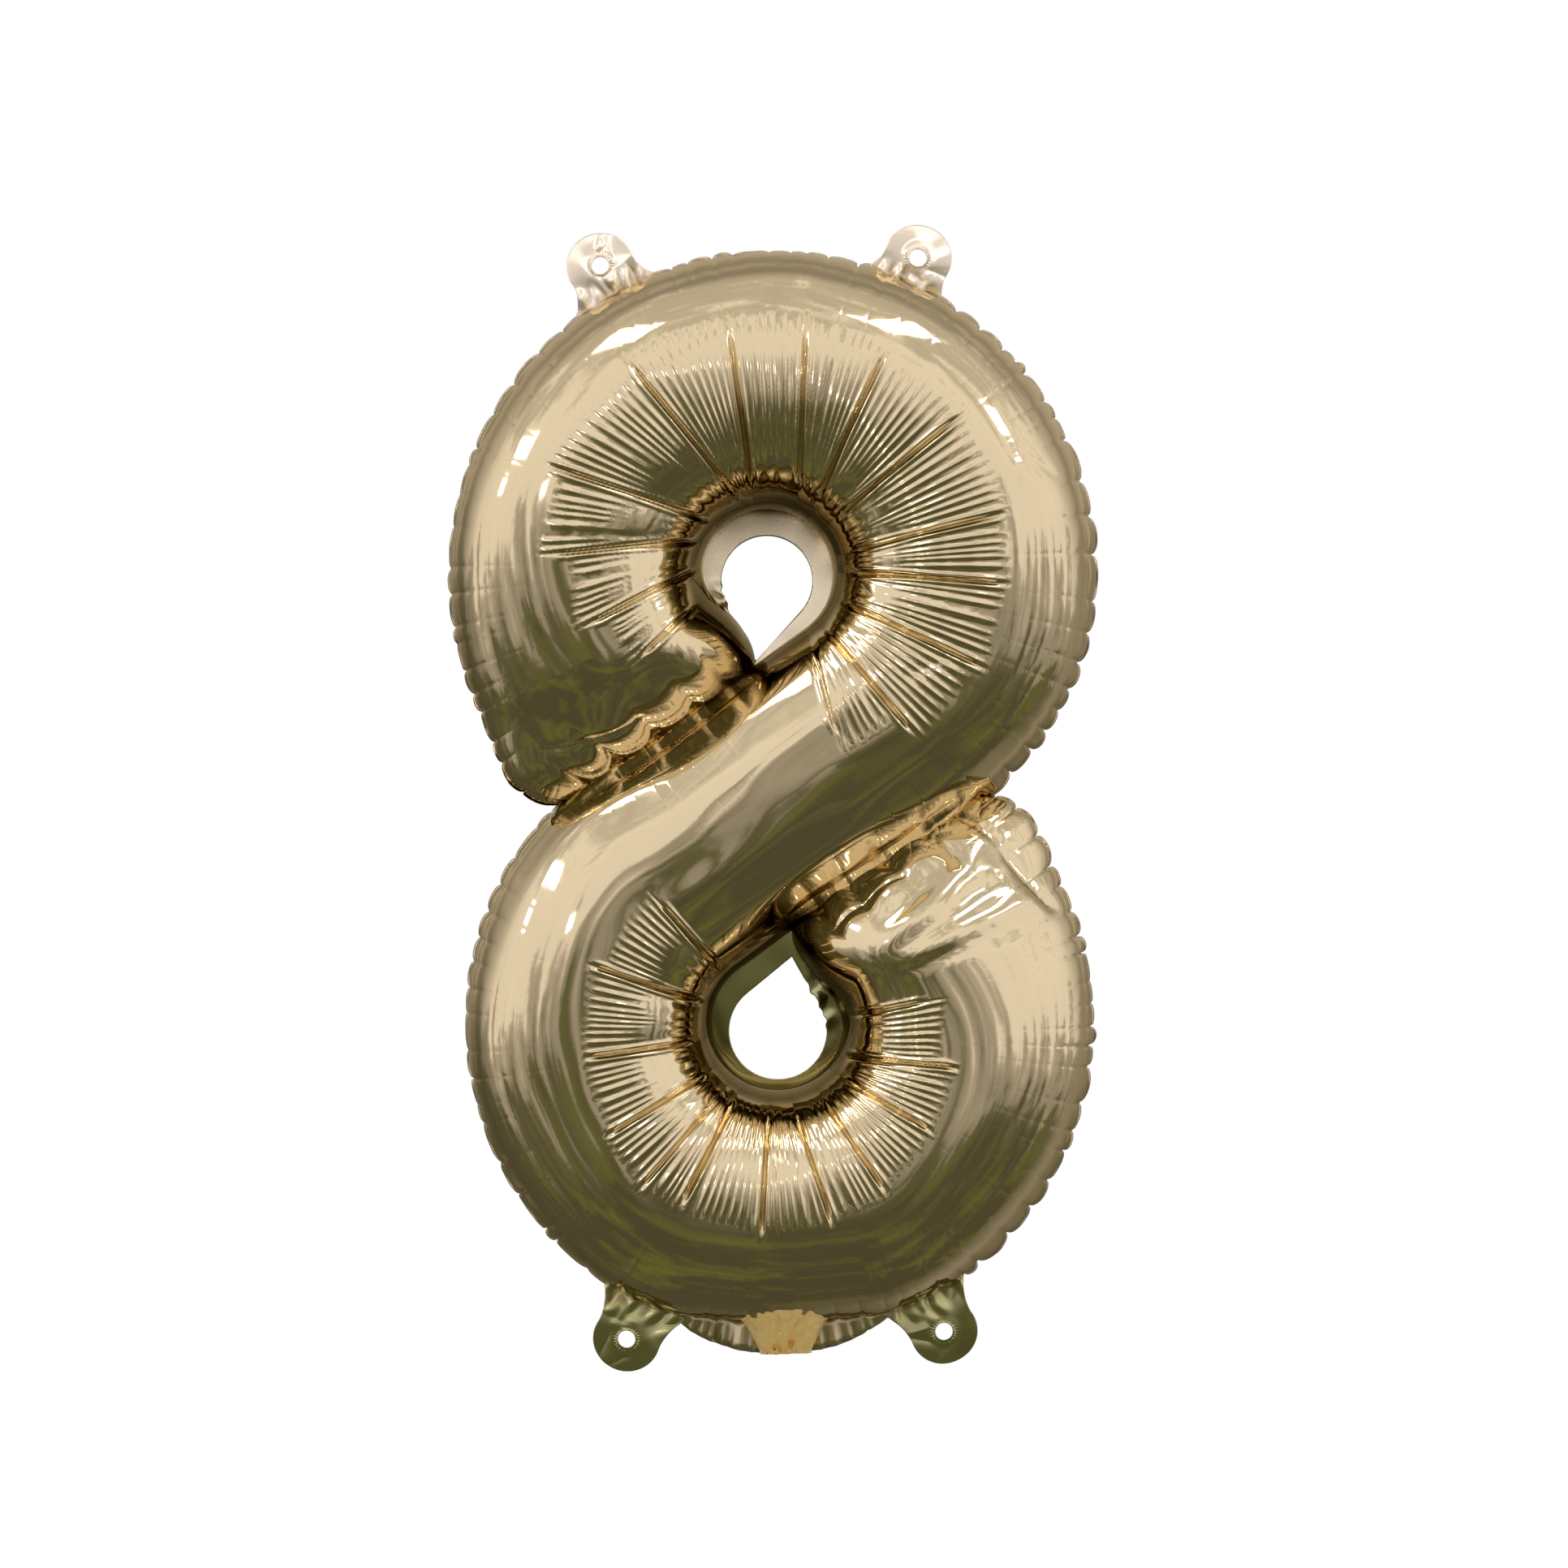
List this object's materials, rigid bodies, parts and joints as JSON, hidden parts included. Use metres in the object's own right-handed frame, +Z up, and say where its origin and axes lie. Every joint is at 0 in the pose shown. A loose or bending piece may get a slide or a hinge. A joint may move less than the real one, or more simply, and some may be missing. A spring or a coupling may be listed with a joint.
{
  "type": "foil number balloon",
  "caption": "Air-filled foil balloon in the shape of the number 8, with hanging tabs at top and bottom and a self-closing filling neck.",
  "frame": {"origin": "middle of the balloon's box, on the seam plane between the two film sheets", "axes": "+Z up, +X to the right seen from the front, the front faces -Y"},
  "size_m": [0.2, 0.072, 0.3518],
  "materials": {
    "foil": "polished",
    "sealed_foil": "gloss",
    "valve_film": "gloss"
  },
  "bodies": {
    "balloon": {"front_panel": "foil", "back_panel": "foil", "perimeter_seal": "sealed_foil", "upper_hole_seal": "sealed_foil", "lower_hole_seal": "sealed_foil", "upper_lobe_weld": "sealed_foil", "lower_lobe_weld": "sealed_foil", "fill_neck_front": "sealed_foil", "fill_neck_back": "sealed_foil", "valve_front_film": "valve_film", "valve_back_film": "valve_film"},
    "tab_top_left": {"hanging_tab_top_left": "sealed_foil"},
    "tab_top_right": {"hanging_tab_top_right": "sealed_foil"},
    "tab_bottom_left": {"hanging_tab_bottom_left": "sealed_foil"},
    "tab_bottom_right": {"hanging_tab_bottom_right": "sealed_foil"}
  },
  "joints": [
    {"name": "tab_top_left_bend", "type": "hinge", "parent": "balloon", "child": "tab_top_left", "pos_m": [-0.0457, 0, 0.15907], "axis": [0.8918, 0, 0.4524], "range_deg": [-90, 90], "stiffness_Nm_per_rad": 0.0001},
    {"name": "tab_top_right_bend", "type": "hinge", "parent": "balloon", "child": "tab_top_right", "pos_m": [0.0457, 0, 0.15907], "axis": [0.8918, 0, -0.4524], "range_deg": [-90, 90], "stiffness_Nm_per_rad": 0.0001},
    {"name": "tab_bottom_left_bend", "type": "hinge", "parent": "balloon", "child": "tab_bottom_left", "pos_m": [-0.04434, 0, -0.1564], "axis": [-0.8918, 0, 0.4524], "range_deg": [-90, 90], "stiffness_Nm_per_rad": 0.0001},
    {"name": "tab_bottom_right_bend", "type": "hinge", "parent": "balloon", "child": "tab_bottom_right", "pos_m": [0.04434, 0, -0.1564], "axis": [-0.8918, 0, -0.4524], "range_deg": [-90, 90], "stiffness_Nm_per_rad": 0.0001}
  ]
}
